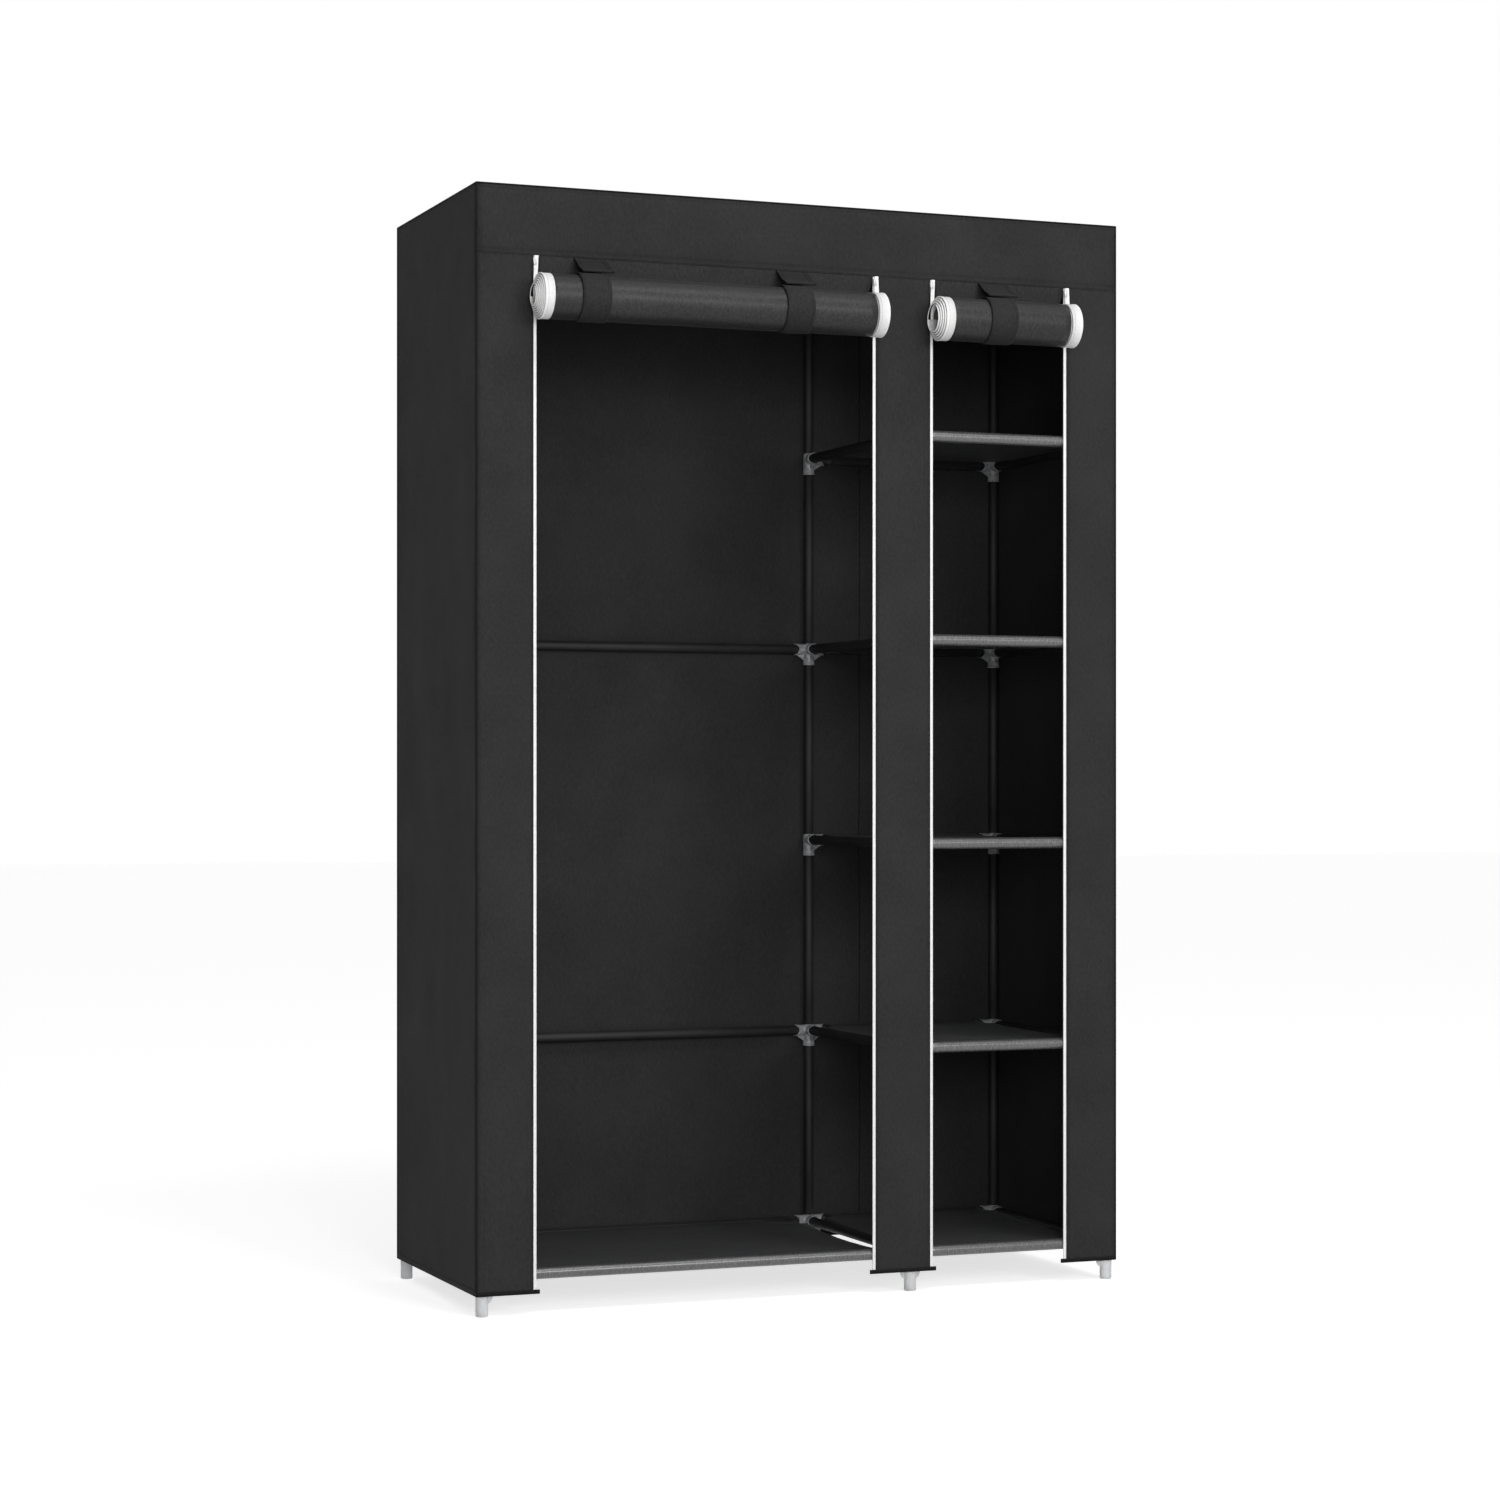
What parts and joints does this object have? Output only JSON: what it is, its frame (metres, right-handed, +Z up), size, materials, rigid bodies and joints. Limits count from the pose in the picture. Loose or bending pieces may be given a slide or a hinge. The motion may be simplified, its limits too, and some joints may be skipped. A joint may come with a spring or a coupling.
{
  "type": "portable fabric wardrobe",
  "caption": "Free-standing cloth wardrobe on a steel tube frame, with a hanging compartment, a column of shelves and roll-up zipped doors held by straps.",
  "frame": {"origin": "on the ground, below the middle of the whole object's box", "axes": "+Z up, +X to the right seen from the front, -Y towards the doors"},
  "size_m": [1.1, 0.5268, 1.74],
  "materials": {
    "cover_cloth": "black non-woven cloth with piped edges and lockstitch seams",
    "shelf_cloth": "black coated non-woven cloth, slight sheen",
    "steel_tube": "black powder coat, semi-gloss",
    "depth_rail": "black powder-coated tube with a translucent plastic connector on each end",
    "connector": "translucent grey moulded plastic",
    "zip_tape": "white woven zip tape with moulded teeth",
    "zip_slider": "white-lacquered die-cast slider"
  },
  "bodies": {
    "wardrobe": {"upright_front_left": "steel_tube", "upright_front_middle": "steel_tube", "upright_front_right": "steel_tube", "upright_rear_left": "steel_tube", "upright_rear_middle": "steel_tube", "upright_rear_right": "steel_tube", "depth_rail_left_0": "depth_rail", "depth_rail_left_1": "depth_rail", "depth_rail_left_3": "depth_rail", "depth_rail_left_top": "depth_rail", "depth_rail_middle_0": "depth_rail", "depth_rail_middle_1": "depth_rail", "depth_rail_middle_2": "depth_rail", "depth_rail_middle_3": "depth_rail", "depth_rail_middle_4": "depth_rail", "depth_rail_middle_top": "depth_rail", "depth_rail_right_0": "depth_rail", "depth_rail_right_1": "depth_rail", "depth_rail_right_2": "depth_rail", "depth_rail_right_3": "depth_rail", "depth_rail_right_4": "depth_rail", "depth_rail_right_top": "depth_rail", "back_rail_1": "steel_tube", "back_rail_3": "steel_tube", "top_rail_front_left": "steel_tube", "top_rail_front_right": "steel_tube", "top_rail_rear_left": "steel_tube", "top_rail_rear_right": "steel_tube", "hanging_rail": "steel_tube", "hanging_rail_clip_left": "connector", "hanging_rail_clip_right": "connector", "shelf_left_0": "shelf_cloth", "shelf_right_0": "shelf_cloth", "shelf_right_1": "shelf_cloth", "shelf_right_2": "shelf_cloth", "shelf_right_3": "shelf_cloth", "shelf_right_4": "shelf_cloth", "cover_roof": "cover_cloth", "cover_back": "cover_cloth", "cover_side_left": "cover_cloth", "cover_side_right": "cover_cloth", "cover_header": "cover_cloth", "cover_strip_left": "cover_cloth", "cover_strip_middle": "cover_cloth", "cover_strip_right": "cover_cloth", "door_drop_left": "cover_cloth", "door_drop_right": "cover_cloth"},
    "left_door": {"door_roll_left": "cover_cloth", "zip_coil_left_1": "zip_tape", "zip_coil_left_2": "zip_tape"},
    "left_slider_1": {"zip_slider_left_1": "zip_slider"},
    "left_slider_2": {"zip_slider_left_2": "zip_slider"},
    "right_door": {"door_roll_right": "cover_cloth", "zip_coil_right_1": "zip_tape", "zip_coil_right_2": "zip_tape"},
    "right_slider_1": {"zip_slider_right_1": "zip_slider"},
    "right_slider_2": {"zip_slider_right_2": "zip_slider"},
    "strap_1": {"strap_flap_1": "cover_cloth"},
    "strap_2": {"strap_flap_2": "cover_cloth"},
    "strap_3": {"strap_flap_3": "cover_cloth"}
  },
  "joints": [
    {"name": "left_door_unroll", "type": "slide", "parent": "wardrobe", "child": "left_door", "axis": [0, 0, -1], "range_m": [0, 1.49], "deforming": ["door_drop_left"]},
    {"name": "left_slider_1_run", "type": "slide", "parent": "wardrobe", "child": "left_slider_1", "axis": [0, 0, -1], "range_m": [0, 1.49]},
    {"name": "left_slider_2_run", "type": "slide", "parent": "wardrobe", "child": "left_slider_2", "axis": [0, 0, -1], "range_m": [0, 1.49]},
    {"name": "right_door_unroll", "type": "slide", "parent": "wardrobe", "child": "right_door", "axis": [0, 0, -1], "range_m": [0, 1.49], "deforming": ["door_drop_right"]},
    {"name": "right_slider_1_run", "type": "slide", "parent": "wardrobe", "child": "right_slider_1", "axis": [0, 0, -1], "range_m": [0, 1.49]},
    {"name": "right_slider_2_run", "type": "slide", "parent": "wardrobe", "child": "right_slider_2", "axis": [0, 0, -1], "range_m": [0, 1.49]},
    {"name": "strap_1_lift", "type": "hinge", "parent": "wardrobe", "child": "strap_1", "pos_m": [-0.3675, -0.1868, 1.634], "axis": [-1, 0, 0], "range_deg": [0, 110]},
    {"name": "strap_2_lift", "type": "hinge", "parent": "wardrobe", "child": "strap_2", "pos_m": [-0.03, -0.1868, 1.634], "axis": [-1, 0, 0], "range_deg": [0, 110]},
    {"name": "strap_3_lift", "type": "hinge", "parent": "wardrobe", "child": "strap_3", "pos_m": [0.324, -0.1868, 1.634], "axis": [-1, 0, 0], "range_deg": [0, 110]}
  ],
  "couplings": [
    {"joint": "left_slider_1_run", "follows": "left_door_unroll", "ratio": 1},
    {"joint": "left_slider_2_run", "follows": "left_door_unroll", "ratio": 1},
    {"joint": "right_slider_1_run", "follows": "right_door_unroll", "ratio": 1},
    {"joint": "right_slider_2_run", "follows": "right_door_unroll", "ratio": 1}
  ]
}
